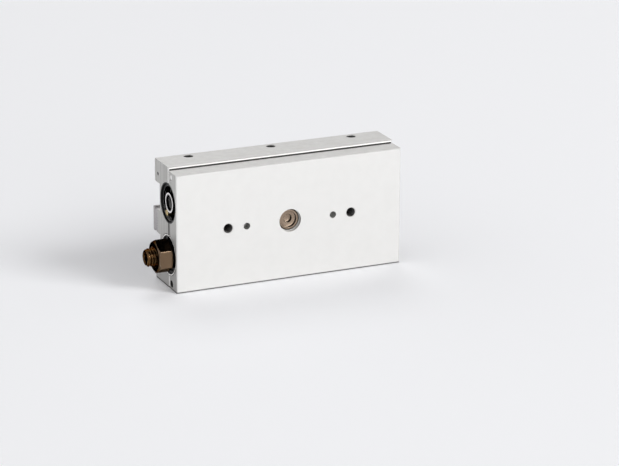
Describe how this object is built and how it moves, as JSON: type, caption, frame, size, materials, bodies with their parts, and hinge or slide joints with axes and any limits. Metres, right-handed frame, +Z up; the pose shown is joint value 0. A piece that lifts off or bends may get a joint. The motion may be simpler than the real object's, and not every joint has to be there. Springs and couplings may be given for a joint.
{
  "type": "pneumatic gripper",
  "caption": "Flat-bodied pneumatic parallel gripper: two jaws on a guide rail, driven by opposed racks and a pinion, with air ports and an opening stop.",
  "frame": {"origin": "centre of the flat mounting face, on the axis of the centring bore and the pinion", "axes": "+X along the jaw travel, +Y from the mounting face through the body to the jaws, +Z up as it stands in the picture"},
  "size_m": [0.1146, 0.033, 0.0534],
  "materials": {
    "anodised_body": "natural anodised, satin",
    "rail_steel": "ground and hardened",
    "cap_alloy": "turned and anodised",
    "bright_steel": "ground",
    "dark_steel": "plain",
    "jaw_steel": "milled",
    "bronze": "turned bronze",
    "nut_brown": "brown passivated",
    "screw_gold": "yellow passivated",
    "brass": "turned",
    "piston_alloy": "turned",
    "seal_rubber": "moulded",
    "wear_plastic": "moulded"
  },
  "bodies": {
    "housing": {"front_housing": "anodised_body", "rear_housing": "anodised_body", "guide_rail": "rail_steel", "body_screws": "dark_steel", "rail_screws": "dark_steel", "body_dowels": "bright_steel", "end_plugs": "bright_steel", "upper_tube": "bright_steel", "lower_tube": "bright_steel", "upper_left_cap": "cap_alloy", "upper_right_cap": "cap_alloy", "lower_left_cap": "cap_alloy", "lower_right_cap": "cap_alloy", "throttle_screws": "brass", "retaining_rings": "dark_steel", "cap_seals": "seal_rubber", "pinion_pin": "bronze", "thrust_washers": "bright_steel", "lock_nut": "nut_brown"},
    "left_jaw": {"left_jaw": "jaw_steel", "lower_rack": "bright_steel", "lower_guide_heads": "piston_alloy", "lower_wear_rings": "wear_plastic", "lower_end_pads": "seal_rubber", "lower_drive_pin": "bright_steel"},
    "right_jaw": {"right_jaw": "jaw_steel", "upper_rack": "bright_steel", "upper_pistons": "piston_alloy", "upper_piston_seals": "seal_rubber", "upper_wear_rings": "wear_plastic", "upper_end_pads": "seal_rubber", "upper_drive_pin": "bright_steel"},
    "pinion": {"pinion": "bright_steel", "pinion_bush": "bronze"},
    "stop_pad": {"stop_pad": "wear_plastic"},
    "stop_screw": {"stop_screw": "screw_gold"}
  },
  "joints": [
    {"name": "left_jaw_slide", "type": "slide", "parent": "housing", "child": "left_jaw", "axis": [1, 0, 0], "range_m": [0, 0.01]},
    {"name": "right_jaw_slide", "type": "slide", "parent": "housing", "child": "right_jaw", "axis": [1, 0, 0], "range_m": [-0.01, 0]},
    {"name": "pinion_turn", "type": "hinge", "parent": "housing", "child": "pinion", "pos_m": [0, 0.0096, 0], "axis": [0, 1, 0], "range_deg": [-82, 0]},
    {"name": "stop_pad_slide", "type": "slide", "parent": "housing", "child": "stop_pad", "axis": [1, 0, 0], "range_m": [-0.003, 0]},
    {"name": "stop_screw_turn", "type": "hinge", "parent": "stop_pad", "child": "stop_screw", "pos_m": [-0.05, 0.0096, -0.0115], "axis": [1, 0, 0], "range_deg": [-865, 0]}
  ],
  "couplings": [
    {"joint": "right_jaw_slide", "follows": "left_jaw_slide", "ratio": -1},
    {"joint": "pinion_turn", "follows": "left_jaw_slide", "rad_per_m": -142.86},
    {"joint": "stop_screw_turn", "follows": "stop_pad_slide", "rad_per_m": 5026.5}
  ]
}
